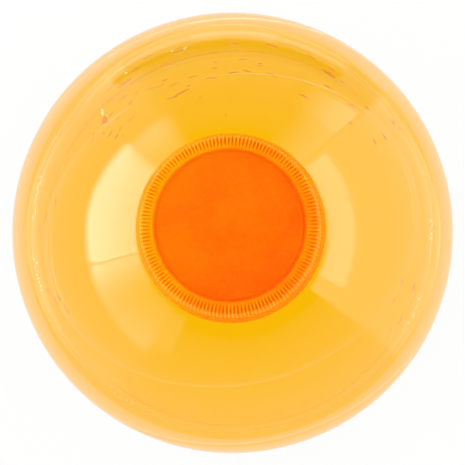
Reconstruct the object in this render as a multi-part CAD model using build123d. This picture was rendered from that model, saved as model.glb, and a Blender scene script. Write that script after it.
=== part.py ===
from build123d import *
import math
import os

# Round detergent bottle with a ribbed screw cap, in millimetres, +Z up.
# The origin is the centre of the base, on the surface the bottle stands on.
# The mould's parting line lies along X, and the front label faces -Y.

# Bottle body
BODY_R = 47.5              # widest circle, at the foot of the shoulder
WIDEST_Z = 148.0           # height of that circle above the base
WALL = 1.2                 # blown wall
HEEL_R = 5.0               # rounding between the side and the base
FOOT_WIDTH = 2.5           # flat ring that the bottle stands on
PUSH_UP = 7.0              # height of the hollow under the base
LABEL_RECESS = 0.7         # depth of the label zone below the two bumper rings
LABEL_ZONE_LOW = 19.0
LABEL_ZONE_HIGH = 141.0
BUMPER_SLOPE = 1.2         # height of the step into the label zone

# Shoulder and dome
SHOULDER_R = 2.7           # small arc between the side and the dome
SHOULDER_TURN = 31.2       # degrees that the small arc turns through
DOME_R = 63.0              # large arc up to the neck
CROWN_STEP = 0.35          # the crown stands this proud of the lower dome
CREASE_FRONT_Z = 18.0      # crown's edge above the widest circle, at the front and back
CREASE_SIDE_Z = 11.0       # and at the sides, CREASE_SIDE_X out
CREASE_SIDE_X = 40.0
FLUTE_DEPTH = 0.3          # shallow crescent pressed into the front and back shoulder
FLUTE_HIGH_Z = 4.1
FLUTE_LOW_Z = 2.6
FLUTE_TIP_Z = 0.9
FLUTE_TIP_X = 36.5

# Neck finish
NECK_R = 14.85             # thread root
BORE_R = 12.9
THROAT_R = 17.0            # where the hollow of the dome meets the neck's bore
LANDING_R = 19.4           # ring at the foot of the neck that carries the tamper band
LANDING_Z = WIDEST_Z + 27.0
LANDING_DEPTH = 2.0        # how far the ring is let into the dome
LIP_Z = WIDEST_Z + 40.7
BEAD_R = 17.0              # bead that holds the tamper band down
BEAD_Z = WIDEST_Z + 29.9
BEAD_HEIGHT = 1.3
BEAD_EDGE = 0.3            # upright edge under the bead's slope

# Thread, shared by the neck and the cap
PITCH = 4.233              # six threads per inch
THREAD_TURNS = 1.25
THREAD_START_Z = WIDEST_Z + 33.6
THREAD_HEIGHT = 1.15
THREAD_ROOT_W = 2.2
THREAD_CREST_W = 1.2
THREAD_SINK = 0.3          # how far the ridge is let into its wall

# Screw cap
CAP_TOP_Z = WIDEST_Z + 45.0
CAP_SKIRT_Z = WIDEST_Z + 31.55
CAP_BORE_R = 16.3
CAP_DISC_R = 15.7          # recessed disc in the top
CAP_DISC_DEPTH = 0.8
CAP_DISC_DRAFT = 0.2       # how much wider the recess is at its top
CAP_DISH = 0.25            # extra depth at the disc's centre
CAP_PLATE_Z = WIDEST_Z + 42.7   # underside of the top plate
RIB_COUNT = 144
RIB_FOOT_Z = WIDEST_Z + 34.2
RIB_TOP_R = 18.55          # crest of the ribs under the rounded shoulder
RIB_FOOT_R = 18.95
RIB_DEPTH = 0.5
RIB_FOOT_LAND = 0.4        # plain strip between the grooves and the skirt's ledge
GROOVE_TOP_R = 16.3        # where the grooves begin on the top face
GROOVE_SLOPE = 1.8         # height of their sloping start
CAP_SHOULDER_R = 1.4
CAP_SKIRT_TOP_R = 19.15
CAP_SKIRT_R = 19.5

# Liner, pour insert, tamper band
LINER_R = 15.9
LINER_GAP = 0.05
INSERT_FLANGE_R = 14.8
INSERT_FLANGE = 1.0
INSERT_PLUG_R = 12.75
INSERT_SEAL_R = 13.0       # two sealing beads that grip the bore
INSERT_LENGTH = 10.5
INSERT_WALL = 1.2
INSERT_FLOOR_RISE = 3.0    # from the plug's lower edge to its floor
SEAL_DROPS = (9.0, 2.0)    # the sealing beads' depths below the lip
SEAL_HEIGHT = 0.5
SPOUT_BORE_R = 5.5
DRAIN_HOLE_R = 1.6
DRAIN_CIRCLE_R = 9.1
BAND_HEIGHT = 4.2
BAND_TOP_R = 19.6
BAND_FOOT_R = 19.9
BAND_BORE_R = 17.4
BAND_LIP_R = 16.4          # inward lip that catches under the neck bead
BAND_LIP_RISE = 1.0        # cone under the lip
BAND_LIP_DROP = 0.6        # the lip's top edge, below the bead
BRIDGE_COUNT = 12          # broken bridges left on the band's top edge
BRIDGE_INSET = 0.8
BRIDGE_DEPTH = 0.7
BRIDGE_WIDTH = 0.9
BRIDGE_SHARE = 0.8         # of the gap up to the cap's skirt

# Detergent and labels
FILL_Z = WIDEST_Z + 4.8
FILL_GAP = 0.05
LABEL_T = 0.2
LABEL_HALF_ANGLE = 50.0
LABEL_HEIGHT = 104.0
LABEL_CORNER_R = 7.0

AXIS_SPAN = 4 * BODY_R     # long enough to cut right across the bottle
OVERCUT = 2.0              # how far a cutter runs past what it cuts
ON_BASE = (Align.CENTER, Align.CENTER, Align.MIN)


def dome_centre():
    """Where the small shoulder arc ends, and the centre of the dome's large arc."""
    turn = math.radians(SHOULDER_TURN)
    end_r = BODY_R - SHOULDER_R * (1 - math.cos(turn))
    end_z = WIDEST_Z + SHOULDER_R * math.sin(turn)
    return end_r - DOME_R * math.cos(turn), end_z - DOME_R * math.sin(turn)


def dome_z(radius, inset=0.0):
    """Height of the dome at a radius, on a surface inset below the outer one."""
    centre_r, centre_z = dome_centre()
    return centre_z + math.sqrt((DOME_R - inset) ** 2 - (radius - centre_r) ** 2)


def arc_between(centre, radius, start_deg, end_deg):
    """An arc in the r-z plane, by its centre and its two angles from +r."""
    middle = (start_deg + end_deg) / 2
    points = [
        (centre[0] + radius * math.cos(angle), centre[1] + radius * math.sin(angle))
        for angle in map(math.radians, (start_deg, middle, end_deg))
    ]
    return ThreePointArc(*points)


def spherical_arc(apex_z, edge_r, edge_z):
    """An arc from the axis, square to it, out to an edge, so that it turns into part of a sphere."""
    rise = apex_z - edge_z
    radius = (edge_r**2 + rise**2) / (2 * abs(rise))
    side = math.copysign(1, rise)
    edge_deg = math.degrees(math.acos(edge_r / radius))
    return arc_between((0, apex_z - side * radius), radius, side * 90, side * edge_deg)


def turned(*lines):
    """Revolve a closed outline drawn in the r-z plane about Z."""
    outline = Plane.XZ * make_face([edge for line in lines for edge in line.edges()])
    return revolve(outline, Axis.Z)


def dome_lines(inset, top_r):
    """Shoulder arc and dome arc, inset below the outer surface, up to a radius."""
    centre = dome_centre()
    dome_radius = DOME_R - inset
    top_deg = math.degrees(math.acos((top_r - centre[0]) / dome_radius))
    shoulder = arc_between((BODY_R - SHOULDER_R, WIDEST_Z), SHOULDER_R - inset, 0, SHOULDER_TURN)
    dome = arc_between(centre, dome_radius, SHOULDER_TURN, top_deg)
    return shoulder, dome


def body_form(inset, top_r, top_z):
    """The closed body below the neck: the outer form, or the hollow inside the wall."""
    side_r = BODY_R - inset
    label_r = side_r - LABEL_RECESS
    foot_r = BODY_R - HEEL_R
    ring_r = foot_r - FOOT_WIDTH
    heel = arc_between((foot_r, HEEL_R), HEEL_R - inset, -90, 0)
    shoulder, dome = dome_lines(inset, top_r)
    push_up = spherical_arc(PUSH_UP + inset, ring_r, inset)
    side = Polyline(
        heel @ 1,
        (side_r, LABEL_ZONE_LOW - BUMPER_SLOPE),
        (label_r, LABEL_ZONE_LOW),
        (label_r, LABEL_ZONE_HIGH),
        (side_r, LABEL_ZONE_HIGH + BUMPER_SLOPE),
        shoulder @ 0,
    )
    foot = Line(push_up @ 1, heel @ 0)
    top = Polyline(dome @ 1, (top_r, top_z), (0, top_z), push_up @ 0)
    return turned(push_up, foot, heel, side, shoulder, dome, top)


def front_view(*lines):
    """A prism right through the bottle, front to back, drawn in the front view."""
    face = Plane.XZ * make_face([edge for line in lines for edge in line.edges()])
    return extrude(face, AXIS_SPAN / 2, both=True)


def crown_region():
    """Everything above the arched crease on the dome."""
    sag = (CREASE_FRONT_Z - CREASE_SIDE_Z) * (BODY_R / CREASE_SIDE_X) ** 2
    low = WIDEST_Z + CREASE_FRONT_Z - sag
    crease = ThreePointArc((-BODY_R, low), (0, WIDEST_Z + CREASE_FRONT_Z), (BODY_R, low))
    over = Polyline((BODY_R, low), (BODY_R, CAP_TOP_Z), (-BODY_R, CAP_TOP_Z), (-BODY_R, low))
    return front_view(crease, over)


def crown():
    """The raised crown: a second, slightly larger dome cut off along the crease."""
    raised = turned(
        arc_between(dome_centre(), DOME_R + CROWN_STEP, SHOULDER_TURN, crown_top_deg()),
        Polyline(
            (LANDING_R, dome_z(LANDING_R, -CROWN_STEP)),
            (0, dome_z(LANDING_R, -CROWN_STEP)),
            (0, WIDEST_Z),
            (crown_foot()[0], WIDEST_Z),
            crown_foot(),
        ),
    )
    return raised & crown_region()


def crown_top_deg():
    return math.degrees(math.acos((LANDING_R - dome_centre()[0]) / (DOME_R + CROWN_STEP)))


def crown_foot():
    turn = math.radians(SHOULDER_TURN)
    centre_r, centre_z = dome_centre()
    reach = DOME_R + CROWN_STEP
    return centre_r + reach * math.cos(turn), centre_z + reach * math.sin(turn)


def flutes(skin):
    """Crescent recesses on the front and back shoulder, as deep as the skin they leave."""
    tip_z = WIDEST_Z + FLUTE_TIP_Z
    high = ThreePointArc((-FLUTE_TIP_X, tip_z), (0, WIDEST_Z + FLUTE_HIGH_Z), (FLUTE_TIP_X, tip_z))
    low = ThreePointArc((-FLUTE_TIP_X, tip_z), (0, WIDEST_Z + FLUTE_LOW_Z), (FLUTE_TIP_X, tip_z))
    return front_view(high, low) - skin


def thread_ridge(wall_r, outward):
    """A helical ridge standing on a cylinder, outward on the neck and inward in the cap."""
    way = 1 if outward else -1
    path = Helix(PITCH, PITCH * THREAD_TURNS, wall_r, center=(0, 0, THREAD_START_Z))
    section = Plane(origin=path @ 0, x_dir=(way, 0, 0), z_dir=path % 0) * make_face(
        Polyline(
            (-THREAD_SINK, -THREAD_ROOT_W / 2),
            (0, -THREAD_ROOT_W / 2),
            (THREAD_HEIGHT, -THREAD_CREST_W / 2),
            (THREAD_HEIGHT, THREAD_CREST_W / 2),
            (0, THREAD_ROOT_W / 2),
            (-THREAD_SINK, THREAD_ROOT_W / 2),
            close=True,
        )
    )
    return sweep(section, path=path, is_frenet=True)


def ring(inner_r, outer_r, low_z, high_z):
    """A plain ring between two heights."""
    corners = [(inner_r, low_z), (outer_r, low_z), (outer_r, high_z), (inner_r, high_z)]
    return turned(Polyline(corners, close=True))


def disc(radius, low_z, high_z):
    return Pos(0, 0, low_z) * Cylinder(radius, high_z - low_z, align=ON_BASE)


def neck():
    """Landing, bead, threaded wall and lip, without the bore."""
    bead_top = BEAD_Z + BEAD_HEIGHT
    wall = turned(
        Polyline(
            (0, LANDING_Z - LANDING_DEPTH),
            (LANDING_R, LANDING_Z - LANDING_DEPTH),
            (LANDING_R, LANDING_Z),
            (NECK_R, LANDING_Z),
            (NECK_R, BEAD_Z),
            (BEAD_R, BEAD_Z),
            (BEAD_R, BEAD_Z + BEAD_EDGE),
            (NECK_R, bead_top),
            (NECK_R, LIP_Z),
            (0, LIP_Z),
            close=True,
        )
    )
    return wall + thread_ridge(NECK_R, outward=True)


def hollow():
    """The inside of the bottle, from the base to the lip."""
    throat_z = dome_z(THROAT_R, WALL)
    return body_form(WALL, THROAT_R, throat_z) + disc(BORE_R, throat_z - OVERCUT, LIP_Z)


def bottle_shell():
    skin = body_form(FLUTE_DEPTH, LANDING_R, dome_z(LANDING_R, FLUTE_DEPTH))
    outside = body_form(0, LANDING_R, LANDING_Z - LANDING_DEPTH / 2) - flutes(skin)
    return outside + crown() + neck() - hollow()


def detergent_fill():
    inset = WALL + FILL_GAP
    inside = body_form(inset, LANDING_R, dome_z(LANDING_R, inset))
    return inside - disc(BODY_R, FILL_Z, CAP_TOP_Z)


def label(side):
    """A blank label in the recess; side is -1 at the front and 1 at the back."""
    recess_r = BODY_R - LABEL_RECESS
    width = 2 * recess_r * math.sin(math.radians(LABEL_HALF_ANGLE))
    middle_z = (LABEL_ZONE_LOW + LABEL_ZONE_HIGH) / 2
    outline = Plane.XZ * RectangleRounded(width, LABEL_HEIGHT, LABEL_CORNER_R)
    prism = Pos(0, 0, middle_z) * extrude(outline, -side * BODY_R)
    return ring(recess_r, recess_r + LABEL_T, LABEL_ZONE_LOW, LABEL_ZONE_HIGH) & prism


def cap_blank():
    """The cap's outside at the crests of its ribs."""
    shoulder = arc_between((RIB_TOP_R - CAP_SHOULDER_R, CAP_TOP_Z - CAP_SHOULDER_R), CAP_SHOULDER_R, 90, 0)
    return turned(
        Polyline((0, CAP_SKIRT_Z), (CAP_SKIRT_R, CAP_SKIRT_Z), (CAP_SKIRT_TOP_R, RIB_FOOT_Z)),
        Polyline((CAP_SKIRT_TOP_R, RIB_FOOT_Z), (RIB_FOOT_R, RIB_FOOT_Z), shoulder @ 1),
        shoulder,
        Polyline(shoulder @ 0, (0, CAP_TOP_Z), (0, CAP_SKIRT_Z)),
    )


def rib_grooves():
    """The grooves between the ribs, which start on the top face and run down the side."""
    low_z = RIB_FOOT_Z + RIB_FOOT_LAND
    floor = turned(
        Polyline(
            (0, RIB_FOOT_Z),
            (RIB_FOOT_R - RIB_DEPTH, RIB_FOOT_Z),
            (RIB_TOP_R - RIB_DEPTH, CAP_TOP_Z - GROOVE_SLOPE),
            (GROOVE_TOP_R, CAP_TOP_Z),
            (GROOVE_TOP_R, CAP_TOP_Z + OVERCUT),
            (0, CAP_TOP_Z + OVERCUT),
            close=True,
        )
    )
    half_angle = math.pi / RIB_COUNT / 2
    spread = math.tan(half_angle)
    near, far = CAP_DISC_R, CAP_SKIRT_R + OVERCUT
    corners = [(near, -near * spread), (far, -far * spread), (far, far * spread), (near, near * spread)]
    wedge = make_face(Polyline(corners, close=True))
    groove = Pos(0, 0, low_z) * extrude(wedge, CAP_TOP_Z + OVERCUT / 2 - low_z) - floor
    return [Rot(0, 0, 360 * index / RIB_COUNT) * groove for index in range(RIB_COUNT)]


def screw_cap():
    disc_z = CAP_TOP_Z - CAP_DISC_DEPTH
    dish_z = disc_z - CAP_DISH
    mouth_r = CAP_DISC_R + CAP_DISC_DRAFT
    dish = turned(
        Polyline((0, dish_z), (0, CAP_TOP_Z), (mouth_r, CAP_TOP_Z), (CAP_DISC_R, disc_z)),
        spherical_arc(dish_z, CAP_DISC_R, disc_z),
    )
    inside = disc(CAP_BORE_R, CAP_SKIRT_Z, CAP_PLATE_Z)
    shell = cap_blank() - rib_grooves() - dish - inside
    return shell + Rot(0, 0, 180) * thread_ridge(CAP_BORE_R, outward=False)


def cap_liner():
    """Sealing disc under the cap's top plate, which it can turn against."""
    return disc(LINER_R, LIP_Z + INSERT_FLANGE, CAP_PLATE_Z - LINER_GAP)


def pour_insert():
    """Plug with a raised spout and two drain holes beside it."""
    foot_z = LIP_Z - INSERT_LENGTH
    floor_z = foot_z + INSERT_FLOOR_RISE
    top_z = LIP_Z + INSERT_FLANGE
    plug_bore_r = INSERT_PLUG_R - INSERT_WALL
    joint_r = INSERT_PLUG_R - INSERT_WALL / 2
    insert = ring(plug_bore_r, INSERT_PLUG_R, foot_z, top_z)
    insert += ring(plug_bore_r, INSERT_FLANGE_R, LIP_Z, top_z)
    insert += ring(SPOUT_BORE_R, joint_r, floor_z, floor_z + INSERT_WALL)
    insert += ring(SPOUT_BORE_R, SPOUT_BORE_R + INSERT_WALL, floor_z, LIP_Z + INSERT_FLANGE / 2)
    for drop in SEAL_DROPS:
        seal_z = LIP_Z - drop - SEAL_HEIGHT / 2
        insert += ring(joint_r, INSERT_SEAL_R, seal_z, seal_z + SEAL_HEIGHT)
    for side in (-1, 1):
        drain = disc(DRAIN_HOLE_R, floor_z - OVERCUT, floor_z + INSERT_WALL + OVERCUT)
        insert -= Pos(0, side * DRAIN_CIRCLE_R, 0) * drain
    return insert


def tamper_band():
    """Ring left on the neck when the cap is first opened, with its broken bridges."""
    top_z = LANDING_Z + BAND_HEIGHT
    band = turned(
        Polyline(
            (BAND_LIP_R, LANDING_Z + BAND_LIP_RISE),
            (BAND_BORE_R, LANDING_Z),
            (BAND_FOOT_R, LANDING_Z),
            (BAND_TOP_R, top_z),
            (BAND_BORE_R, top_z),
            (BAND_BORE_R, BEAD_Z - BAND_LIP_DROP / 2),
            (BAND_LIP_R, BEAD_Z - BAND_LIP_DROP),
            close=True,
        )
    )
    bridge_height = (CAP_SKIRT_Z - top_z) * BRIDGE_SHARE
    bridge = Box(BRIDGE_DEPTH, BRIDGE_WIDTH, bridge_height, align=ON_BASE)
    bridge = Pos(BAND_TOP_R - BRIDGE_INSET, 0, top_z) * bridge
    return band + [Rot(0, 0, 360 * index / BRIDGE_COUNT) * bridge for index in range(BRIDGE_COUNT)]


PIECES = {
    "bottle_shell": bottle_shell,
    "detergent_fill": detergent_fill,
    "pour_insert": pour_insert,
    "tamper_band": tamper_band,
    "front_label": lambda: label(-1),
    "back_label": lambda: label(1),
    "cap_liner": cap_liner,
    "screw_cap": screw_cap,
}

os.makedirs("parts", exist_ok=True)
for name, build in PIECES.items():
    export_step(build(), f"parts/{name}.step")
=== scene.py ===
import math
import random

import bmesh
import bpy
import numpy as np
from mathutils import Matrix, Vector


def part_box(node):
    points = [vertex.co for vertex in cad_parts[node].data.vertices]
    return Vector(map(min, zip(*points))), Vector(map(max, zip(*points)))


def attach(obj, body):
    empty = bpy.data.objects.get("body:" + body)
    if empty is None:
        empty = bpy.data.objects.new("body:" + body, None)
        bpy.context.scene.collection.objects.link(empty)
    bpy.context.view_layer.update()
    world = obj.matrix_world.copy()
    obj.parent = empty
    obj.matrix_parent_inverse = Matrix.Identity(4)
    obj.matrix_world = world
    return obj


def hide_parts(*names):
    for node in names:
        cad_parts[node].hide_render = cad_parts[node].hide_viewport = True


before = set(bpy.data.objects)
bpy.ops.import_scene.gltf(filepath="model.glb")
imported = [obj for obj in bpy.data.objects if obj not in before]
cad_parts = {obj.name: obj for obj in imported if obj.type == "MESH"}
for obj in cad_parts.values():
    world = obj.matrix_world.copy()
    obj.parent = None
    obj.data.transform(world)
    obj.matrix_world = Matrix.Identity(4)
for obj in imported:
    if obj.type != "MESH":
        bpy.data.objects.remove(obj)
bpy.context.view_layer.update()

# Sizes in metres. What the frame knows is read from it, and the rest repeats the solids' driving sizes.
# Heights in the dome's relief are above the widest circle.
MM = 0.001
SHELL_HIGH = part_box("bottle_shell")[1]
CAP_LOW, CAP_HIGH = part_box("screw_cap")

BODY_R = SHELL_HIGH.x
LIP_Z = SHELL_HIGH.z
WIDEST_Z = LIP_Z - 40.7 * MM
WALL = 1.2 * MM
HEEL_R = 5.0 * MM
FOOT_WIDTH = 2.5 * MM
PUSH_UP = 7.0 * MM
LABEL_RECESS = 0.7 * MM
LABEL_ZONE_LOW = 19.0 * MM
LABEL_ZONE_HIGH = 141.0 * MM
BUMPER_SLOPE = 1.2 * MM

SHOULDER_R = 2.7 * MM
SHOULDER_TURN = 31.2
DOME_R = 63.0 * MM
CROWN_STEP = 0.35 * MM
CREASE_FRONT_Z = 18.0 * MM
CREASE_SIDE_Z = 11.0 * MM
CREASE_SIDE_X = 40.0 * MM
CREASE_WIDTH = 0.9 * MM
BACK_SHARE = 0.5
INSIDE_SHARE = 0.35
LIQUID_SHARE = 0.7
FLUTE_DEPTH = 0.12 * MM
FLUTE_HIGH_Z = 4.8 * MM
FLUTE_LOW_Z = 3.2 * MM
FLUTE_TIP_Z = 0.3 * MM
FLUTE_TIP_X = 38.5 * MM
FLUTE_FADE = 0.4 * MM
PARTING_RIDGE = 0.1 * MM
PARTING_WIDTH = 0.25 * MM
RIPPLE = 0.012 * MM
RIPPLE_WAVES = ((3, 90, 0), (5, -140, 2), (8, 210, 4))
RIM_REACH = 10.0 * MM

NECK_R = 14.85 * MM
BORE_R = 12.9 * MM
THROAT_R = 17.0 * MM
LANDING_R = 19.4 * MM
LANDING_Z = WIDEST_Z + 27.0 * MM
BEAD_R = 17.0 * MM
BEAD_Z = WIDEST_Z + 29.9 * MM
BEAD_HEIGHT = 1.3 * MM
LIP_ROUND = 0.4 * MM

PITCH = 4.233 * MM
THREAD_TURNS = 1.25
THREAD_START_Z = WIDEST_Z + 33.6 * MM
THREAD_HEIGHT = 1.15 * MM
THREAD_ROOT_W = 2.2 * MM
THREAD_CREST_W = 1.2 * MM

CAP_TOP_Z = CAP_HIGH.z
CAP_SKIRT_Z = CAP_LOW.z
CAP_SKIRT_R = CAP_HIGH.x
CAP_SKIRT_TOP_R = CAP_SKIRT_R - 0.35 * MM
CAP_BORE_R = 16.3 * MM
CAP_DISC_R = 15.7 * MM
CAP_DISC_DEPTH = 0.8 * MM
CAP_DISH = 0.25 * MM
DISC_RING_R = 15.0 * MM
DISC_RING = 0.07 * MM
DISC_RING_WIDTH = 0.3 * MM
CAP_PLATE_Z = CAP_TOP_Z - 2.3 * MM
RIB_COUNT = 144
# Places along one rib's pitch, and how far up the surface stands there
RIB_PATTERN = ((0.0, 1), (0.16, 1), (0.32, 1), (0.5, 0.12), (0.66, 0), (0.82, 0.12))
RIB_FOOT_Z = CAP_TOP_Z - 10.8 * MM
RIB_TOP_R = 18.55 * MM
RIB_FOOT_R = 18.95 * MM
RIB_DEPTH = 0.5 * MM
RIB_FOOT_DEPTH = 0.18 * MM
RIB_FOOT_LAND = 0.4 * MM
GROOVE_TOP_R = 16.3 * MM
GROOVE_SLOPE = 1.5 * MM
CAP_SHOULDER_R = 1.4 * MM

LIQUID_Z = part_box("detergent_fill")[1].z
LIQUID_SKIN = 0.1 * MM
LIQUID_GAP = 0.05 * MM
LIQUID_FOOT_RISE = 0.7
MENISCUS_RISE = 0.7 * MM
MENISCUS_REACH = 0.7 * MM

COLUMNS = 192
PARTING_COLUMNS_DEG = (-1.2, -0.8, -0.5, -0.25, 0.25, 0.5, 0.8, 1.2)
CAP_COLUMNS = 144
DROP_COLUMNS = 14
DROP_LEAN_DEG = (-14, 14)
DROP_GAP = 0.03 * MM
# Share of a drop's half size, and share of its depth, from its hanging tip round to the wall
DROP_PROFILE = ((0, 1), (0.35, 0.9), (0.65, 0.6), (0.87, 0.25), (1, 0.04), (0.9, 0), (0, 0))
BUBBLE_R = 42.6 * MM

# The camera looks down at the cap. These are the picture's right and up on the ground.
PICTURE_TURN = math.radians(-14.0)
RIGHT = Vector((math.cos(PICTURE_TURN), math.sin(PICTURE_TURN), 0))
UP = Vector((-math.sin(PICTURE_TURN), math.cos(PICTURE_TURN), 0))
# Painted light: the cap's colour is painted a little paler towards this side, from which the lamps light it
# most
PAINTED_LIGHT_SIDE = 0.5 * UP - 0.86 * RIGHT


# ---------------------------------------------------------------- outlines and meshes


def smooth_step(value):
    """0 below 0, 1 above 1, and smooth between."""
    t = np.clip(value, 0, 1)
    return t * t * (3 - 2 * t)


def arc(centre, radius, start_deg, end_deg, count):
    """Points along an arc in the r-z plane."""
    turn = np.radians(np.linspace(start_deg, end_deg, count))
    return np.column_stack([centre[0] + radius * np.cos(turn), centre[1] + radius * np.sin(turn)])


def line(*stops, steps=1):
    """Points along straight runs in the r-z plane."""
    stops = np.array(stops)
    along = np.arange(0, len(stops) - 1 + 0.5 / steps, 1 / steps)
    places = np.arange(len(stops))
    return np.column_stack([np.interp(along, places, stops[:, axis]) for axis in (0, 1)])


def outline(*parts):
    """One outline from several, without its repeated points."""
    points = np.concatenate(parts)
    keep = np.ones(len(points), bool)
    keep[1:] = np.linalg.norm(np.diff(points, axis=0), axis=1) > 1e-7
    return points[keep]


def swept_round(points, angles):
    """Rows of points round the axis: a row per outline point, a column per angle."""
    rows = np.empty((len(points), len(angles), 3))
    rows[:, :, 0] = points[:, :1] * np.cos(angles)
    rows[:, :, 1] = points[:, :1] * np.sin(angles)
    rows[:, :, 2] = points[:, 1:]
    return rows


def pole(z):
    """A row of one point on the axis, which closes an end."""
    return np.array([[0.0, 0.0, z]])


def between(first, second, start, after):
    """Faces between two rows, which may differ in how many columns they have."""
    count, wider = len(first), len(second)
    if count == 1:
        return [(start, after + (j + 1) % wider, after + j) for j in range(wider)]
    if wider == 1:
        return [(start + j, start + (j + 1) % count, after) for j in range(count)]
    if count == wider:
        turn = [(j, (j + 1) % count) for j in range(count)]
        return [(start + j, start + k, after + k, after + j) for j, k in turn]
    if wider > count:
        share = wider // count
        fans = []
        for j in range(count):
            far = [after + (j * share + step) % wider for step in range(share, -1, -1)]
            fans.append((start + j, start + (j + 1) % count, *far))
        return fans
    share = count // wider
    fans = []
    for j in range(wider):
        near = [start + (j * share + step) % count for step in range(share + 1)]
        fans.append((*near, after + (j + 1) % wider, after + j))
    return fans


def mesh_from_rows(name, rows, materials, slots=None):
    """A smooth mesh object from rows round the axis; slots gives each strip's material."""
    starts = np.cumsum([0] + [len(row) for row in rows])
    faces, indices = [], []
    for i in range(len(rows) - 1):
        strip = between(rows[i], rows[i + 1], starts[i], starts[i + 1])
        faces += strip
        indices += [slots[i] if slots is not None else 0] * len(strip)
    return mesh_object(name, np.concatenate(rows), faces, materials, indices)


def mesh_object(name, points, faces, materials, indices=None):
    """A smooth-shaded mesh object in the scene."""
    mesh = bpy.data.meshes.new(name)
    mesh.from_pydata([tuple(point) for point in points], [], [tuple(map(int, face)) for face in faces])
    for material in materials:
        mesh.materials.append(material)
    if indices is not None:
        mesh.polygons.foreach_set("material_index", indices)
    mesh.polygons.foreach_set("use_smooth", [True] * len(mesh.polygons))
    mesh.update()
    made = bpy.data.objects.new(name, mesh)
    bpy.context.scene.collection.objects.link(made)
    return made


# ---------------------------------------------------------------- the bottle's form


def dome_centre():
    """Centre of the dome's large arc, which runs on from the small shoulder arc."""
    turn = math.radians(SHOULDER_TURN)
    end_r = BODY_R - SHOULDER_R * (1 - math.cos(turn))
    end_z = WIDEST_Z + SHOULDER_R * math.sin(turn)
    return end_r - DOME_R * math.cos(turn), end_z - DOME_R * math.sin(turn)


def dome_degrees(radius, inset):
    """Angle up the dome's arc at which it has this radius from the axis."""
    return math.degrees(math.acos((radius - dome_centre()[0]) / (DOME_R - inset)))


def side_radius(z):
    """The straight side, with the label zone set in between two bumper rings."""
    low = smooth_step((z - LABEL_ZONE_LOW) / BUMPER_SLOPE + 1)
    high = smooth_step((z - LABEL_ZONE_HIGH) / BUMPER_SLOPE)
    return BODY_R - LABEL_RECESS * (low - high)


def side_heights():
    """Heights of the side's rows, close together at the two bumper rings."""
    fine = 0.2 * MM
    low_step = np.arange(LABEL_ZONE_LOW - 1.2 * BUMPER_SLOPE, LABEL_ZONE_LOW + fine, fine)
    high_step = np.arange(LABEL_ZONE_HIGH - fine, LABEL_ZONE_HIGH + 1.2 * BUMPER_SLOPE, fine)
    middle = np.linspace(LABEL_ZONE_LOW + 2 * MM, LABEL_ZONE_HIGH - 2 * MM, 14)
    top = np.linspace(high_step[-1], WIDEST_Z, 5)[1:]
    return np.concatenate([[HEEL_R + 3 * MM], low_step, middle, high_step, top])


def body_outline(inset, top_r, fine=0.25 * MM, plain_foot=False):
    """The body from its base hollow's middle to the top of the dome.

    A plain foot leaves out the low bumper ring and has a flat slope for the heel's curve.
    """
    foot_r = BODY_R - HEEL_R
    ring_r = foot_r - FOOT_WIDTH
    hollow_r = (ring_r**2 + PUSH_UP**2) / (2 * PUSH_UP)
    across = np.linspace(0.02, 1, 14) * ring_r
    hollow = np.column_stack([across, PUSH_UP - hollow_r + np.sqrt(hollow_r**2 - across**2) + inset])
    heel = arc((foot_r, HEEL_R), HEEL_R - inset, -90, 0, 12)
    heights = side_heights()
    radii = side_radius(heights) - inset
    if plain_foot:
        side_r = BODY_R - LABEL_RECESS - inset
        radii[heights < LABEL_ZONE_LOW + MM] = side_r
        run = np.array([0, 0.005, 0.995, 1]) * (side_r - foot_r)
        heel = np.column_stack([foot_r + run, inset + LIQUID_FOOT_RISE * run])
        heights = np.append(heel[-1][1] + 0.02 * MM, heights)
        radii = np.append(side_r, radii)
    side = np.column_stack([radii, heights])
    shoulder = arc((BODY_R - SHOULDER_R, WIDEST_Z), SHOULDER_R - inset, 0, SHOULDER_TURN, 9)
    crown_deg = dome_degrees(30 * MM, inset)
    lower_count = int(math.radians(crown_deg - SHOULDER_TURN) * DOME_R / fine)
    lower = arc(dome_centre(), DOME_R - inset, SHOULDER_TURN, crown_deg, lower_count)
    upper = arc(dome_centre(), DOME_R - inset, crown_deg, dome_degrees(top_r, inset), 20)
    foot = line((ring_r, inset), (foot_r - 0.1 * MM, inset), (foot_r, inset))
    return outline(hollow, foot, heel, side, shoulder, lower, upper)


def arch(x, half_width, tip_z, top_z):
    """Height at x of an arc drawn in the front view through two tips and a top."""
    sag = top_z - tip_z
    radius = (half_width**2 + sag**2) / (2 * sag)
    return top_z - radius + np.sqrt(np.maximum(radius**2 - x**2, 0))


def relief(points):
    """How far the blown wall stands off its plain turned form at each point of its rows.

    Over the widest circle it has a raised crown inside a crease, and a crescent (flute) pressed in below it.
    The mould's parting ridge and a slight ripple run over all of it.
    """
    x, y, z = points[..., 0], points[..., 1], points[..., 2]
    above = z - WIDEST_Z
    sag = (CREASE_FRONT_Z - CREASE_SIDE_Z) * (BODY_R / CREASE_SIDE_X) ** 2
    crease = arch(x, BODY_R, CREASE_FRONT_Z - sag, CREASE_FRONT_Z)
    share = np.interp(y, (0, BODY_R), (1, BACK_SHARE))
    crown = CROWN_STEP * smooth_step((above - crease) / CREASE_WIDTH + 0.5)
    low = arch(x, FLUTE_TIP_X, FLUTE_TIP_Z, FLUTE_LOW_Z)
    height = arch(x, FLUTE_TIP_X, FLUTE_TIP_Z, FLUTE_HIGH_Z) - low
    across = np.clip((above - low) / np.maximum(height, 1e-6), 0, 1)
    deep = FLUTE_DEPTH * np.clip(height / FLUTE_FADE, 0, 1) * np.sin(math.pi * across) ** 2
    parting = PARTING_RIDGE * np.exp(-((y / PARTING_WIDTH) ** 2))
    turn = np.arctan2(y, x)
    wave = sum(np.sin(laps * turn + rise * z + start) for laps, rise, start in RIPPLE_WAVES)
    return np.where(above > 0, share * (crown - deep), 0) + parting + RIPPLE * wave


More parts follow.
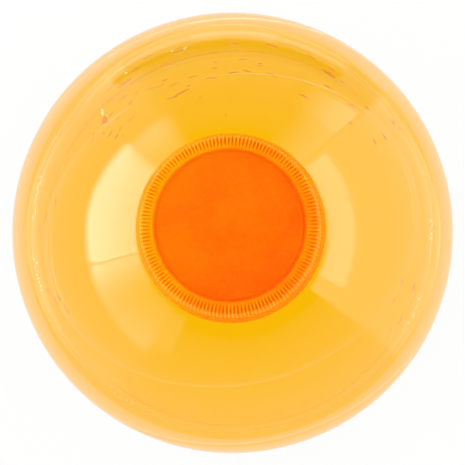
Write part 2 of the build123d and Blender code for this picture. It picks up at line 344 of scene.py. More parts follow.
def blown(points, angles, share=1.0, inset=0.0):
    """Rows of an outline swept round, moved by a share of the relief on the skin that they lie inset from."""
    along = np.gradient(points, axis=0)
    along /= np.linalg.norm(along, axis=1)[:, None]
    outward = np.column_stack([along[:, 1], -along[:, 0]])
    normals = swept_round(outward, angles)
    rows = swept_round(points, angles)
    inset = np.reshape(inset, (-1, 1, 1))
    moved = rows + normals * (share * relief(rows + inset * normals))[:, :, None]
    moved[..., :2] *= np.minimum(1, BODY_R / np.hypot(moved[..., 0], moved[..., 1]))[..., None]
    moved[..., 2] = np.maximum(moved[..., 2], 0)
    return moved


def bottle_angles():
    """Even columns, with more of them close to the two parting lines."""
    even = np.arange(COLUMNS) * 2 * math.pi / COLUMNS
    near = np.radians(PARTING_COLUMNS_DEG)
    return np.sort(np.concatenate([even, near % (2 * math.pi), near + math.pi]))


def thread(angles, heights, turned=0.0):
    """How far the helical ridge stands off its cylinder, for each height and angle."""
    height = np.zeros((len(heights), len(angles)))
    for lap in (0, 1):
        turns = (angles - turned) % (2 * math.pi) / (2 * math.pi) + lap
        middle = THREAD_START_Z + PITCH * turns
        off = np.abs(heights[:, None] - middle[None, :])
        flank = (THREAD_ROOT_W / 2 - off) / ((THREAD_ROOT_W - THREAD_CREST_W) / 2)
        ends = smooth_step(turns / 0.04) * smooth_step((THREAD_TURNS - turns) / 0.04)
        height = np.maximum(height, THREAD_HEIGHT * smooth_step(flank) * ends[None, :])
    return height


def with_thread(points, angles, way, turned=0.0):
    """A cylinder's rows with the thread added outward or inward."""
    rows = swept_round(points, angles)
    off = way * thread(angles, points[:, 1], turned)
    rows[:, :, 0] += off * np.cos(angles)
    rows[:, :, 1] += off * np.sin(angles)
    return rows


def bottle(materials):
    """The blown bottle as one closed wall: outside, neck, bore and inside."""
    angles = bottle_angles()
    outer = body_outline(0, LANDING_R)
    bead_top = BEAD_Z + BEAD_HEIGHT
    soft = 0.2 * MM
    foot = line(
        (LANDING_R, outer[-1][1] + soft),
        (LANDING_R, LANDING_Z - soft),
        (LANDING_R - soft, LANDING_Z),
        (NECK_R + soft, LANDING_Z),
        (NECK_R, LANDING_Z + soft),
        (NECK_R, BEAD_Z - soft),
        (NECK_R + soft, BEAD_Z),
        (BEAD_R - soft, BEAD_Z),
        (BEAD_R, BEAD_Z + soft),
        (BEAD_R - soft, BEAD_Z + 2 * soft),
        (NECK_R + soft, bead_top - soft / 2),
    )
    threaded = line((NECK_R, bead_top), (NECK_R, LIP_Z - LIP_ROUND), steps=44)
    lip = outline(
        arc((NECK_R - LIP_ROUND, LIP_Z - LIP_ROUND), LIP_ROUND, 0, 90, 5),
        arc((BORE_R + LIP_ROUND, LIP_Z - LIP_ROUND), LIP_ROUND, 90, 180, 5),
    )
    inner = body_outline(WALL, THROAT_R, 0.4 * MM)
    throat_z = inner[-1][1]
    bore = line((BORE_R, throat_z + 3 * MM), (BORE_R, throat_z + soft), (BORE_R + soft, throat_z))
    wet_z = LIQUID_Z + MENISCUS_RISE
    rows = [pole(PUSH_UP)]
    base_rows = 1 + int((outer[:, 1] < HEEL_R).sum())
    wet_rows = 1 + int((outer[:, 1] < wet_z).sum())
    rows += list(blown(outer, angles))
    rows += list(swept_round(foot, angles))
    rows += list(with_thread(threaded, angles, 1))
    rows += list(swept_round(outline(lip, bore), angles))
    inner_start = len(rows)
    rows += list(blown(inner, angles, INSIDE_SHARE, WALL))[::-1]
    rows.append(pole(PUSH_UP + WALL))
    slots = [2] * base_rows + [1] * (wet_rows - base_rows) + [0] * (inner_start - wet_rows)
    slots += [2 if row[0][2] < wet_z else 0 for row in rows[inner_start:-1]]
    return mesh_from_rows("bottle_wall", rows, materials, slots)


def detergent(material):
    """The liquid, up to a level surface that curls up at its edge.

    A wetted wall bends light as the liquid does, so the liquid is drawn out to just under its skin,
    and comes back to the wall's inside below its contact line.
    """
    angles = bottle_angles()
    contact_z = LIQUID_Z + MENISCUS_RISE
    skin = body_outline(LIQUID_SKIN, THROAT_R, plain_foot=True)
    inside = body_outline(WALL + LIQUID_GAP, THROAT_R, plain_foot=True)
    count = int((inside[:, 1] < contact_z - 0.05 * MM).sum())
    back = smooth_step((inside[:count, 1] - WIDEST_Z) / (contact_z - WIDEST_Z))[:, None]
    side = skin[:count] * (1 - back) + inside[:count] * back
    inset = LIQUID_SKIN + (WALL + LIQUID_GAP - LIQUID_SKIN) * back[:, 0]
    centre_r, centre_z = dome_centre()
    contact_r = centre_r + math.sqrt((DOME_R - WALL - LIQUID_GAP) ** 2 - (contact_z - centre_z) ** 2)
    near = np.concatenate([np.linspace(0, 5, 20) * MENISCUS_REACH, np.linspace(4 * MM, contact_r, 8)[:-1]])
    curl = MENISCUS_RISE * np.exp(-near / MENISCUS_REACH)
    surface = np.column_stack([contact_r - near, LIQUID_Z + curl])
    rows = [pole(PUSH_UP + LIQUID_SKIN)]
    rows += list(blown(side, angles, LIQUID_SHARE, inset))
    rows += list(swept_round(surface, angles))
    rows.append(pole(LIQUID_Z))
    return mesh_from_rows("detergent", rows, [material])


# ---------------------------------------------------------------- drops inside the dome


def drop_rows(compass_deg, radius, length, width, lean_deg, depth):
    """Rows of one lens-shaped drop that clings to the inside of the dome, its length round the axis."""
    centre_r, centre_z = dome_centre()
    middle = PICTURE_TURN - math.radians(compass_deg)
    wall_r = DOME_R - WALL
    up_arc = math.acos((radius - centre_r) / wall_r)
    lean = math.radians(lean_deg)
    turn = np.arange(DROP_COLUMNS) * 2 * math.pi / DROP_COLUMNS
    rows = []
    for share, lift in DROP_PROFILE:
        columns = turn if share else np.zeros(1)
        along, aside = share * length / 2 * np.cos(columns), share * width / 2 * np.sin(columns)
        around = along * math.cos(lean) - aside * math.sin(lean)
        down = along * math.sin(lean) + aside * math.cos(lean)
        hang = wall_r - DROP_GAP - depth * lift
        elevation = up_arc - down / wall_r
        from_axis = centre_r + hang * np.cos(elevation)
        angle = middle + around / radius
        z = centre_z + hang * np.sin(elevation)
        rows.append(np.column_stack([from_axis * np.cos(angle), from_axis * np.sin(angle), z]))
    return rows


def drops(name, shapes, material):
    """One mesh of many drops, each a closed lens."""
    points, faces = [], []
    for shape in shapes:
        rows = drop_rows(*shape)
        starts = np.cumsum([sum(map(len, points))] + [len(row) for row in rows])
        for i in range(len(rows) - 1):
            faces += between(rows[i], rows[i + 1], starts[i], starts[i + 1])
        points.append(np.concatenate(rows))
    made = mesh_object(name, np.concatenate(points), faces, [material])
    solid = bmesh.new()
    solid.from_mesh(made.data)
    bmesh.ops.recalc_face_normals(solid, faces=solid.faces)
    solid.to_mesh(made.data)
    solid.free()
    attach(made, "bottle")
    return made


def scattered(rng, count, compass_deg, radius, length, width, depth):
    """Small drops at random places, each range given as its two ends."""
    shapes = []
    for _ in range(count):
        ranges = (compass_deg, radius, length, width, DROP_LEAN_DEG, depth)
        shapes.append(tuple(rng.uniform(*ends) for ends in ranges))
    return shapes


def dome_drops():
    """Condensed and splashed detergent on the inside of the dome, most of it towards the back."""
    rng = random.Random(7)
    tinted = [
        (249, 37.9 * MM, 3.2 * MM, 1.1 * MM, 8, 0.22 * MM),
        (234, 38.9 * MM, 3.4 * MM, 1.3 * MM, -6, 0.25 * MM),
        (270.5, 40.1 * MM, 1.8 * MM, 0.9 * MM, 5, 0.22 * MM),
        (253.5, 40.1 * MM, 2.3 * MM, 0.9 * MM, 0, 0.25 * MM),
        (262.5, 32.5 * MM, 2.6 * MM, 0.6 * MM, 8, 0.16 * MM),
    ]
    clear = [
        (282, 40.6 * MM, 2.4 * MM, 0.6 * MM, 6, 0.16 * MM),
        (221, 35.6 * MM, 1.6 * MM, 2.6 * MM, 20, 0.40 * MM),
        (250, 30.9 * MM, 3.6 * MM, 0.7 * MM, -10, 0.20 * MM),
        (326, 41.6 * MM, 1.6 * MM, 0.9 * MM, 30, 0.25 * MM),
        (328.5, 42.0 * MM, 1.2 * MM, 0.7 * MM, -30, 0.22 * MM),
        (302, 39.4 * MM, 2.8 * MM, 1.2 * MM, 4, 0.20 * MM),
    ]
    dash = {
        "length": (0.9 * MM, 2.6 * MM),
        "width": (0.22 * MM, 0.42 * MM),
        "depth": (0.07 * MM, 0.13 * MM),
    }
    clear += scattered(rng, 26, (212, 262), (30 * MM, 41.5 * MM), **dash)
    clear += scattered(rng, 22, (262, 330), (32 * MM, 41.5 * MM), **dash)
    clear += scattered(rng, 8, (150, 205), (38 * MM, 41.5 * MM), **dash)
    clear += scattered(rng, 6, (15, 45), (37 * MM, 41 * MM), **dash)
    dot = {
        "length": (0.25 * MM, 0.5 * MM),
        "width": (0.25 * MM, 0.45 * MM),
        "depth": (0.08 * MM, 0.12 * MM),
    }
    clear += scattered(rng, 26, (140, 400), (24 * MM, 41.5 * MM), **dot)
    return tinted, clear


def foam_bubbles():
    """Rows of small bubbles along the liquid's edge, where foam has dried, and bright tips on a few drops."""
    rng = random.Random(11)
    shapes = [
        (251.6, 40.6 * MM, 0.5 * MM, 1.3 * MM, -25, 0.2 * MM),
        (255.6, 40.4 * MM, 0.5 * MM, 1.5 * MM, 35, 0.2 * MM),
        (236.2, 40.7 * MM, 0.7 * MM, 0.7 * MM, 0, 0.2 * MM),
        (222.5, 37.4 * MM, 0.6 * MM, 2.2 * MM, 25, 0.25 * MM),
    ]
    for start, end, count in ((163, 172, 9), (184, 196, 14), (-3, 3, 6), (20, 30, 5), (120, 126, 4)):
        for place in np.linspace(start, end, count):
            size = rng.uniform(0.3, 0.6) * MM
            shapes.append((place, BUBBLE_R + rng.uniform(-0.3, 0.3) * MM, size, size, 0, 0.4 * size))
    return shapes


# ---------------------------------------------------------------- the screw cap


def rib_pattern():
    """Angles of the ribbed columns, and how far up each stands: 1 on a rib, 0 in a groove."""
    pitch = 2 * math.pi / RIB_COUNT
    angles = [(rib + place) * pitch for rib in range(RIB_COUNT) for place, _ in RIB_PATTERN]
    heights = [up for _ in range(RIB_COUNT) for _, up in RIB_PATTERN]
    return np.array(angles), np.array(heights, float)


def ribbed(crest, groove):
    """Rows that follow one outline on the ribs and another in the grooves."""
    angles, up = rib_pattern()
    up = up[None, :, None]
    return swept_round(crest, angles) * up + swept_round(groove, angles) * (1 - up)


def cap(materials):
    """The screw cap: bore with its thread, skirt, ribs and the dished disc in its top.

    The second material is the plain skirt's.
    """
    angles = np.arange(CAP_COLUMNS) * 2 * math.pi / CAP_COLUMNS
    soft = 0.15 * MM
    bore = line((CAP_BORE_R, CAP_PLATE_Z - soft), (CAP_BORE_R, CAP_SKIRT_Z + soft), steps=48)
    skirt = line(
        (CAP_BORE_R + soft, CAP_SKIRT_Z),
        (CAP_SKIRT_R - soft, CAP_SKIRT_Z),
        (CAP_SKIRT_R, CAP_SKIRT_Z + soft),
        (CAP_SKIRT_TOP_R, RIB_FOOT_Z - soft),
        (CAP_SKIRT_TOP_R - 0.5 * soft, RIB_FOOT_Z - 0.3 * soft),
        (CAP_SKIRT_TOP_R - soft, RIB_FOOT_Z),
        (RIB_FOOT_R, RIB_FOOT_Z + 0.5 * soft),
        (RIB_FOOT_R, RIB_FOOT_Z + RIB_FOOT_LAND),
    )
    groove_z = RIB_FOOT_Z + RIB_FOOT_LAND
    edge = arc((RIB_TOP_R - CAP_SHOULDER_R, CAP_TOP_Z - CAP_SHOULDER_R), CAP_SHOULDER_R, 0, 90, 9)
    flank = line((RIB_FOOT_R, groove_z + soft), tuple(edge[0]), steps=5)
    crest = outline(flank, edge, [[GROOVE_TOP_R, CAP_TOP_Z]])
    groove_top = (RIB_TOP_R - RIB_DEPTH, CAP_TOP_Z - GROOVE_SLOPE)
    groove = outline(
        line((RIB_FOOT_R - RIB_FOOT_DEPTH, groove_z + soft), groove_top, steps=len(crest) - 8),
        line(groove_top, (GROOVE_TOP_R, CAP_TOP_Z), steps=7),
    )
    disc_z = CAP_TOP_Z - CAP_DISC_DEPTH
    rim = line(
        (GROOVE_TOP_R - soft, CAP_TOP_Z),
        (CAP_DISC_R + 2 * soft, CAP_TOP_Z),
        (CAP_DISC_R + soft, CAP_TOP_Z - soft),
        (CAP_DISC_R, disc_z + soft),
        (CAP_DISC_R - soft, disc_z),
    )
    ring = DISC_RING_R + np.linspace(0.5, -0.5, 5) * DISC_RING_WIDTH
    across = np.concatenate([[CAP_DISC_R - 2 * soft], ring, np.linspace(0.92, 0.04, 10) * CAP_DISC_R])
    raised = DISC_RING * np.maximum(0, 1 - np.abs(across - DISC_RING_R) / (0.5 * DISC_RING_WIDTH))
    dish = np.column_stack([across, disc_z - CAP_DISH * (1 - (across / CAP_DISC_R) ** 2) + raised])
    rows = [pole(CAP_PLATE_Z)]
    rows += list(swept_round(np.array([[4 * MM, CAP_PLATE_Z], [CAP_BORE_R - soft, CAP_PLATE_Z]]), angles))
    rows += list(with_thread(bore, angles, -1, math.pi))
    skirt_start = len(rows)
    rows += list(swept_round(skirt, angles))
    skirt_end = len(rows) - 3
    rows += list(ribbed(crest, groove))
    rows += list(swept_round(outline(rim, dish), angles))
    rows.append(pole(disc_z - CAP_DISH))
    slots = [int(skirt_start <= i < skirt_end) for i in range(len(rows) - 1)]
    return mesh_from_rows("ribbed_cap", rows, materials, slots)


# ---------------------------------------------------------------- materials

LIQUID_IOR = 1.36
GLANCE_SHARE = 0.02


def node(tree, kind, inputs=None, **attributes):
    """A shader node with its settings, whose inputs are sockets to link or values to set."""
    made = tree.nodes.new("ShaderNode" + kind)
    for name, value in attributes.items():
        setattr(made, name, value)
    for name, value in (inputs or {}).items():
        if isinstance(value, bpy.types.NodeSocket):
            tree.links.new(value, made.inputs[name])
        else:
            made.inputs[name].default_value = value
    return made


def calc(tree, operation, *values, clamp=False):
    """A Math node's result."""
    inputs = dict(enumerate(values))
    return node(tree, "Math", inputs, operation=operation, use_clamp=clamp).outputs[0]


def remap(tree, value, low, high, to_low=0.0, to_high=1.0, smooth=True):
    """A Map Range node's result."""
    inputs = {"Value": value, "From Min": low, "From Max": high, "To Min": to_low, "To Max": to_high}
    kind = "SMOOTHSTEP" if smooth else "LINEAR"
    return node(tree, "MapRange", inputs, interpolation_type=kind).outputs[0]


def mixed(tree, factor, first, second, blend="MIX"):
    """A colour mix."""
    made = node(tree, "Mix", data_type="RGBA", blend_type=blend)
    for index, value in ((0, factor), (6, first), (7, second)):
        if isinstance(value, bpy.types.NodeSocket):
            tree.links.new(value, made.inputs[index])
        else:
            made.inputs[index].default_value = value
    return made.outputs[2]


def placed(tree):
    """The surface point's X, Y and Z in the piece's own coordinates."""
    return node(tree, "SeparateXYZ", {0: node(tree, "TexCoord").outputs["Object"]}).outputs


def weighted_sum(tree, first, second, amounts):
    """Two values, each times its amount, added up."""
    return calc(tree, "ADD", *(calc(tree, "MULTIPLY", *pair) for pair in zip((first, second), amounts)))


def noise(tree, scale, detail=2.0):
    """Noise in the piece's own coordinates, from 0 to 1."""
    where = node(tree, "TexCoord").outputs["Object"]
    inputs = {"Vector": where, "Scale": scale, "Detail": detail, "Roughness": 0.5}
    return node(tree, "TexNoise", inputs).outputs["Fac"]


def bump(tree, height, distance, strength):
    """A bump normal from a height map."""
    inputs = {"Height": height, "Distance": distance, "Strength": strength}
    return node(tree, "Bump", inputs).outputs["Normal"]


def new_material(name):
    """An empty node material, its tree and its output node."""
    material = bpy.data.materials.new(name)
    material.use_nodes = True
    tree = material.node_tree
    tree.nodes.clear()
    return material, tree, node(tree, "OutputMaterial")


def clear_plastic(name, facing_share, rim_share=0.0):
    """Thin clear wall: what is behind it shows through, under a share of gloss that grows at a glance.

    The wall is thicker where the dome turns down to the side, and rim_share is the gloss that this adds.
    A wall whose facing share is GLANCE_SHARE or more turns all gloss at a glance.
    """
    material, tree, output = new_material(name)
    through = node(tree, "BsdfTransparent", {"Color": (1.0, 0.999, 0.996, 1)})
    haze = remap(tree, noise(tree, 60), 0.3, 0.7, 0.03, 0.06)
    gloss = node(tree, "BsdfPrincipled", {"Base Color": (1, 1, 1, 1), "Metallic": 1.0, "Roughness": haze})
    facing = node(tree, "LayerWeight", {"Blend": 0.5}).outputs["Facing"]
    glance = calc(tree, "POWER", facing, 4.0)
    grows = min(1 - facing_share, facing_share / GLANCE_SHARE)
    share = calc(tree, "MULTIPLY_ADD", glance, grows, facing_share)
    if rim_share:
        height = placed(tree)[2]
        near = remap(tree, height, WIDEST_Z, WIDEST_Z + RIM_REACH, 1.0, 0.0, smooth=False)
        above = remap(tree, height, WIDEST_Z - 0.3 * RIM_REACH, WIDEST_Z, 0.0, rim_share)
        near = calc(tree, "MULTIPLY", near, near)
        rim = calc(tree, "MULTIPLY", near, calc(tree, "MULTIPLY", above, facing))
        share = calc(tree, "ADD", share, rim, clamp=True)
    mix = node(tree, "MixShader", {0: share, 1: through.outputs[0], 2: gloss.outputs[0]})
    tree.links.new(mix.outputs[0], output.inputs["Surface"])
    return material


def amber_liquid():
    """Clear detergent that takes out the blue and half of the green across the bottle.

    The tint keeps the liquid's red from being lost to gloss at its skin.
    """
    material, tree, output = new_material("amber_detergent")
    inputs = {
        "Base Color": (1, 1, 1, 1),
        "Roughness": 0.0,
        "IOR": LIQUID_IOR,
        "Specular Tint": (0.1, 0.6, 1.0, 1),
        "Transmission Weight": 1.0,
    }
    surface = node(tree, "BsdfPrincipled", inputs)
    absorption = node(tree, "VolumeAbsorption", {"Color": (1.0, 0.893, 0.0, 1), "Density": 41.0})
    tree.links.new(surface.outputs[0], output.inputs["Surface"])
    tree.links.new(absorption.outputs[0], output.inputs["Volume"])
    return material


def cap_plastic(name, disc, side, skirt, gloss, gloss_tint):
    """Moulded polypropylene: deep orange, brighter on the thinner ribbed side, with a fine spark grain, and
    painted light that makes it paler towards the lamps' side.
    """
    material, tree, output = new_material(name)
    place = placed(tree)
    radius = calc(tree, "SQRT", weighted_sum(tree, place[0], place[1], (place[0], place[1])))
    outward = remap(tree, radius, CAP_DISC_R - 0.2 * MM, CAP_DISC_R + 0.6 * MM)
    lower = remap(tree, radius, RIB_FOOT_R, RIB_FOOT_R + 0.1 * MM)
    base = mixed(tree, lower, mixed(tree, outward, disc, side), skirt)
    # Painted light: a gradient across the cap, paler towards the lamps' side, stands in for how the light
    # falls on it
    painted_light = weighted_sum(tree, place[0], place[1], PAINTED_LIGHT_SIDE)
    coarse = calc(tree, "MULTIPLY", noise(tree, 900), 0.4)
    grain = calc(tree, "MULTIPLY_ADD", noise(tree, 2600, 1.0), 0.6, coarse)
    cloud = remap(tree, noise(tree, 110, 3.0), 0.3, 0.7, 0.25, 0.75)
    sparkle = remap(tree, grain, 0.3, 0.7, -0.2, 0.2)
    cloud_and_painted_light = calc(tree, "MULTIPLY_ADD", painted_light, 0.42 / CAP_DISC_R, cloud)
    shade = calc(tree, "ADD", cloud_and_painted_light, sparkle, clamp=True)
    tint = mixed(tree, shade, (1, 0.82, 1, 1), (1, 1.2, 1, 1))
    coloured = mixed(tree, 1.0, base, tint, "MULTIPLY")
    inputs = {
        "Base Color": coloured,
        "Roughness": remap(tree, noise(tree, 400), 0.3, 0.7, 0.3, 0.38),
        "Specular IOR Level": gloss,
        "Specular Tint": gloss_tint,
        "Normal": bump(tree, grain, 0.02 * MM, 0.4),
        "Subsurface Weight": 1.0,
        "Subsurface Radius": (1.0, 0.4, 0.08),
        "Subsurface Scale": 2.0 * MM,
    }
    surface = node(tree, "BsdfPrincipled", inputs)
    tree.links.new(surface.outputs[0], output.inputs["Surface"])
    return material


def soft_plastic(name, colour, rough, grain_scale):
    """Milky moulded or foamed plastic with a faint mottle."""
    material, tree, output = new_material(name)
    mottle = remap(tree, noise(tree, grain_scale * 0.2), 0.3, 0.7)
    darker = tuple(0.92 * channel for channel in colour[:3]) + (1,)
    inputs = {
        "Base Color": mixed(tree, mottle, darker, colour),
        "Roughness": remap(tree, noise(tree, grain_scale), 0.3, 0.7, rough - 0.05, rough + 0.05),
        "Normal": bump(tree, noise(tree, grain_scale), 0.03 * MM, 0.5),
        "Subsurface Weight": 0.2,
        "Subsurface Radius": (1.0, 0.9, 0.7),
        "Subsurface Scale": 1.0 * MM,
    }
    surface = node(tree, "BsdfPrincipled", inputs)
    tree.links.new(surface.outputs[0], output.inputs["Surface"])
    return material


def label_film(name):
    """Blank satin label film with a faint fibre and a plain amber band near its foot."""
    material, tree, output = new_material(name)
    low, high = (corner.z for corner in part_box("front_label"))
    share = remap(tree, placed(tree)[2], low, high, smooth=False)
    band = calc(tree, "COMPARE", share, 0.12, 0.035)
    thin = calc(tree, "COMPARE", share, 0.18, 0.008)
    fibre = remap(tree, noise(tree, 700, 4.0), 0.3, 0.7)
    paper = mixed(tree, fibre, (0.88, 0.86, 0.81, 1), (0.95, 0.94, 0.91, 1))
    printed = mixed(tree, calc(tree, "ADD", band, thin, clamp=True), paper, (0.93, 0.38, 0.04, 1))
    inputs = {
        "Base Color": printed,
        "Roughness": remap(tree, noise(tree, 300), 0.3, 0.7, 0.38, 0.5),
        "Normal": bump(tree, noise(tree, 1500, 3.0), 0.01 * MM, 0.4),
    }
    surface = node(tree, "BsdfPrincipled", inputs)
    lit_through = node(tree, "BsdfTranslucent", {"Color": printed})
    mix = node(tree, "MixShader", {0: 0.35, 1: surface.outputs[0], 2: lit_through.outputs[0]})
    tree.links.new(mix.outputs[0], output.inputs["Surface"])
    return material


def drop_liquid(name, colour, clear=1.0, rough=0.02):
    """A drop of detergent, tinted as a whole because it is too thin to absorb much; foam is less clear."""
    material, tree, output = new_material(name)
    darker = tuple(0.9 * channel for channel in colour[:3]) + (1,)
    tint = mixed(tree, remap(tree, noise(tree, 500), 0.3, 0.7), colour, darker)
    inputs = {
        "Base Color": tint,
        "Roughness": rough,
        "IOR": LIQUID_IOR,
        "Specular Tint": (1.0, 0.6, 0.1, 1),
        "Transmission Weight": clear,
    }
    surface = node(tree, "BsdfPrincipled", inputs)
    tree.links.new(surface.outputs[0], output.inputs["Surface"])
    return material


# ---------------------------------------------------------------- light, floor and camera


def compass(tree, sky, middle_deg):
    """Angle clockwise from a compass angle, which is itself clockwise from the picture's right."""
    middle = math.radians(middle_deg)
    towards = weighted_sum(tree, sky["right"], sky["down"], (math.cos(middle), math.sin(middle)))
    aside = weighted_sum(tree, sky["right"], sky["down"], (-math.sin(middle), math.cos(middle)))
    return calc(tree, "ARCTAN2", aside, towards)


def panel(tree, sky, span, height, blur=1.0, bend=None, climb=0.0, side_blur=None):
    """A mask of the sky: 1 between two compass angles and two heights.

    Past the bend, its lower edge climbs by this much for each degree of compass. Its sides may have a blur
    of their own.
    """
    middle = sum(span) / 2
    off = compass(tree, sky, middle)
    side_blur = math.radians(side_blur or blur)
    half, blur = math.radians(span[1] - middle), math.radians(blur)
    low, high = (math.radians(edge) for edge in height)
    wide = remap(tree, calc(tree, "ABSOLUTE", off), half - side_blur, half + side_blur, 1.0, 0.0)
    level = sky["height"]
    if bend is not None:
        past = calc(tree, "MAXIMUM", calc(tree, "SUBTRACT", off, math.radians(bend - middle)), 0.0)
        level = calc(tree, "SUBTRACT", level, calc(tree, "MULTIPLY", past, climb))
    over = remap(tree, level, low - blur, low + blur)
    under = remap(tree, sky["height"], high - blur, high + blur, 1.0, 0.0)
    return calc(tree, "MULTIPLY", wide, calc(tree, "MULTIPLY", over, under))


def panel_light(tree, sky, span, height, light, dim, full):
    """A panel's light, which changes with height, and starts dim and is full from a compass angle on."""
    middle = sum(span) / 2
    low, high = (math.radians(edge) for edge in height)
    level = remap(tree, sky["height"], low, high, *light, smooth=False)
    off = compass(tree, sky, middle)
    side = remap(tree, off, math.radians(span[0] - middle), math.radians(full - middle), dim, 1.0)
    return calc(tree, "MULTIPLY", level, side)


# Each panel's compass angles and heights in degrees, and its light at the lower and the upper edge. A panel
# with "dim" starts at that share of its light and is full from the compass angle "full". Later rows lie over
# earlier ones.
PANELS = (
    {"span": (127.0, 239.5), "height": (-40.0, 37.0), "light": (1.55, 1.25), "blur": 3.0,
     "side_blur": 7.0},
    {"span": (127.0, 239.5), "height": (-35.0, -17.0), "light": (2.5, 2.5), "blur": 2.5},
    {"span": (117.5, 127.0), "height": (18.5, 37.0), "light": (1.4, 0.9)},
    {"span": (127.0, 149.5), "height": (14.3, 37.0), "light": (3.0, 1.0)},
    {"span": (149.0, 221.0), "height": (14.3, 38.0), "light": (9.5, 5.6), "dim": 0.28, "full": 176.0,
     "bend": 190.0, "climb": 0.12, "blur": 1.2},
    {"span": (219.0, 239.5), "height": (20.5, 37.0), "light": (3.8, 1.3), "blur": 3.0, "side_blur": 6.0},
    {"span": (316.0, 396.0), "height": (-40.0, 38.0), "light": (1.5, 2.1)},
    {"span": (316.0, 396.0), "height": (-35.0, -17.0), "light": (2.6, 2.6), "blur": 2.5},
    {"span": (232.0, 303.0), "height": (-15.0, -9.5), "light": (0.1, 0.1)},
    {"span": (259.0, 281.0), "height": (-17.0, -8.5), "light": (0.1, 0.1)},
    {"span": (237.0, 303.0), "height": (-35.0, -16.0), "light": (0.9, 2.4), "blur": 1.5},
    {"span": (237.0, 258.0), "height": (-19.0, -15.0), "light": (1.1, 1.1)},
    {"span": (282.0, 303.0), "height": (-19.0, -15.0), "light": (1.1, 1.1)},
    {"span": (319.0, 386.0), "height": (26.0, 38.0), "light": (4.8, 4.0)},
    {"span": (292.0, 315.5), "height": (-1.7, 17.0), "light": (3.0, 3.4), "dim": 0.15, "full": 315.5,
     "blur": 0.6},
    {"span": (292.0, 315.5), "height": (17.0, 38.0), "light": (2.2, 2.1), "dim": 0.15, "full": 315.5,
     "blur": 0.6},
)
# What lights the surfaces: the panels up to a limit, and an even light that is strongest overhead
SOFT_LIMIT = 1.5
AMBIENT_LOW = 0.3
AMBIENT_HIGH = 1.0
FILL_TOP = 34.0
BACK_SPAN = (237, 303)


def studio():
    """The world: white to the eye, and a dim light tent with softboxes for reflections and light."""
    world = bpy.data.worlds.new("studio")
    bpy.context.scene.world = world
    world.use_nodes = True
    tree = world.node_tree
    tree.nodes.clear()
    axes = node(tree, "SeparateXYZ", {0: node(tree, "TexCoord").outputs["Generated"]}).outputs
    sky = {
        "right": weighted_sum(tree, axes[0], axes[1], RIGHT),
        "down": weighted_sum(tree, axes[0], axes[1], -UP),
        "height": calc(tree, "ARCSINE", axes[2]),
    }
    rising = remap(tree, sky["height"], 0.0, math.radians(FILL_TOP), 1.0, 0.0, smooth=False)
    near = remap(tree, sky["down"], -0.5, 0.5, 0.75, 1.1)
    light = calc(tree, "MULTIPLY", calc(tree, "SQRT", rising), near)
    back = panel(tree, sky, BACK_SPAN, (-40, 30))
    sinking = remap(tree, sky["height"], math.radians(-14), math.radians(-2), 0.0, 1.0)
    kept = calc(tree, "MULTIPLY_ADD", calc(tree, "SUBTRACT", sinking, 1.0), back, 1.0)
    light = calc(tree, "MULTIPLY", light, kept)
    for row in PANELS:
        span, height = row["span"], row["height"]
        edges = {name: row[name] for name in ("blur", "bend", "climb", "side_blur") if name in row}
        mask = panel(tree, sky, span, height, **edges)
        dim, full = row.get("dim", 1.0), row.get("full", span[1])
        glow = panel_light(tree, sky, span, height, row["light"], dim, full)
        light = calc(tree, "MULTIPLY_ADD", calc(tree, "SUBTRACT", glow, light), mask, light)
    path = node(tree, "LightPath").outputs
    seen = calc(tree, "ADD", path["Is Camera Ray"], path["Is Transmission Ray"], clamp=True)
    ambient = remap(tree, sky["height"], 0.0, math.radians(60), AMBIENT_LOW, AMBIENT_HIGH)
    soft = calc(tree, "ADD", calc(tree, "MINIMUM", light, SOFT_LIMIT), ambient)
    is_glossy = path["Is Glossy Ray"]
    unseen = weighted_sum(tree, light, soft, (is_glossy, calc(tree, "SUBTRACT", 1.0, is_glossy)))
    strength = calc(tree, "MULTIPLY_ADD", unseen, calc(tree, "SUBTRACT", 1.0, seen), seen)
    background = node(tree, "Background", {"Color": (1, 1, 1, 1), "Strength": strength})
    node(tree, "OutputWorld", {"Surface": background.outputs[0]})


# The table's reach from the bottle, how far its back edge bows in, and the share of it that looks plain white
TABLE_FAR = 0.4
TABLE_BOW = -0.35
TABLE_NEAR = 2.5
TABLE_SIDE = 0.45
TABLE_DROP = 0.02 * MM
TABLE_WHITE = 0.93


def floor():
    """A plain white table that ends not far behind the bottle and keeps its soft shadow."""
    material, tree, output = new_material("white_table")
    path = node(tree, "LightPath").outputs
    seen = calc(tree, "ADD", path["Is Camera Ray"], path["Is Glossy Ray"], clamp=True)
    plain = node(tree, "BsdfDiffuse", {"Color": (0.9, 0.9, 0.9, 1)})
    white = node(tree, "Emission", {"Color": (1, 1, 1, 1), "Strength": 1.0})
    share = calc(tree, "MAXIMUM", calc(tree, "MULTIPLY", seen, TABLE_WHITE), path["Is Transmission Ray"])
    mix = node(tree, "MixShader", {0: share, 1: plain.outputs[0], 2: white.outputs[0]})
    tree.links.new(mix.outputs[0], output.inputs["Surface"])
    across = np.linspace(TABLE_SIDE, -TABLE_SIDE, 31)
    back_edge = [x * RIGHT + (TABLE_FAR + TABLE_BOW * x * x) * UP for x in across]
    corners = [-TABLE_SIDE * RIGHT - TABLE_NEAR * UP, TABLE_SIDE * RIGHT - TABLE_NEAR * UP, *back_edge]
    made = mesh_object("table", corners, [tuple(range(len(corners)))], [material])
    made.location.z = -TABLE_DROP


CAMERA_PLACE = Vector((4.75 * MM, -35.1 * MM, WIDEST_Z + 1.0))
SENSOR_WIDTH = 36.0
LENS = 360.2


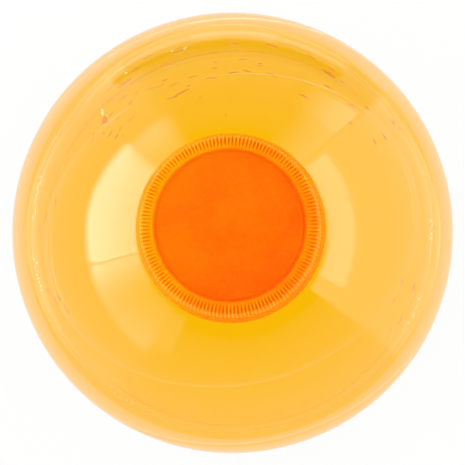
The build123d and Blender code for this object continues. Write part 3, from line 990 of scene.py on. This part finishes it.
def camera():
    """Camera above the bottle, a little to its front, looking at the widest circle's middle."""
    data = bpy.data.cameras.new("camera")
    made = bpy.data.objects.new("camera", data)
    bpy.context.scene.collection.objects.link(made)
    target = Vector((0, 0, WIDEST_Z))
    back = (CAMERA_PLACE - target).normalized()
    across = (RIGHT - RIGHT.dot(back) * back).normalized()
    upward = back.cross(across)
    made.matrix_world = Matrix((across, upward, back)).transposed().to_4x4()
    made.location = CAMERA_PLACE
    data.sensor_width = SENSOR_WIDTH
    data.lens = LENS
    data.clip_end = 20.0
    bpy.context.scene.camera = made


# ---------------------------------------------------------------- the assembly

scene = bpy.context.scene
scene.view_settings.view_transform = "Standard"
scene.cycles.use_denoising = True
scene.cycles.max_bounces = 32
scene.cycles.transmission_bounces = 24
scene.cycles.glossy_bounces = 24
scene.cycles.transparent_max_bounces = 32

studio()
floor()
camera()

clear = clear_plastic("clear_wall", 0.02)
backed = clear_plastic("liquid_backed_wall", 0.04, 0.62)
wetted = clear_plastic("wetted_wall", 0.001)
bottle_piece = bottle([clear, backed, wetted])
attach(bottle_piece, "bottle")
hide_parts("bottle_shell")

liquid_piece = detergent(amber_liquid())
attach(liquid_piece, "bottle")
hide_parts("detergent_fill")

tinted_shapes, clear_shapes = dome_drops()
drops("dome_drops_tinted", tinted_shapes, drop_liquid("tinted_drops", (1.0, 0.74, 0.16, 1)))
drops("dome_drops_clear", clear_shapes, drop_liquid("clear_drops", (1.0, 0.58, 0.15, 1)))
drops("foam_bubbles", foam_bubbles(), drop_liquid("foam_film", (1.0, 0.93, 0.4, 1), 0.35, 0.3))

skirt_orange = (1.0, 0.2, 0.0, 1)
disc_orange = (1.0, 0.165, 0.0, 1)
rib_orange = (1.0, 0.28, 0.0, 1)
orange = cap_plastic("orange_cap", disc_orange, rib_orange, skirt_orange, 0.12, (1.0, 0.75, 0.25, 1))
plain_orange = cap_plastic("orange_band", skirt_orange, skirt_orange, skirt_orange, 0.02, (1.0, 0.4, 0.0, 1))
cap_piece = cap([orange, plain_orange])
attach(cap_piece, "cap")
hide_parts("screw_cap")

CAD_FINISHES = {
    "tamper_band": plain_orange,
    "pour_insert": soft_plastic("natural_insert", (0.86, 0.86, 0.82, 1), 0.35, 600),
    "cap_liner": soft_plastic("liner_foam", (0.82, 0.82, 0.8, 1), 0.7, 1500),
    "front_label": label_film("front_label_film"),
    "back_label": label_film("back_label_film"),
}
for name, finish in CAD_FINISHES.items():
    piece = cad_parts[name]
    piece.data.materials.clear()
    piece.data.materials.append(finish)
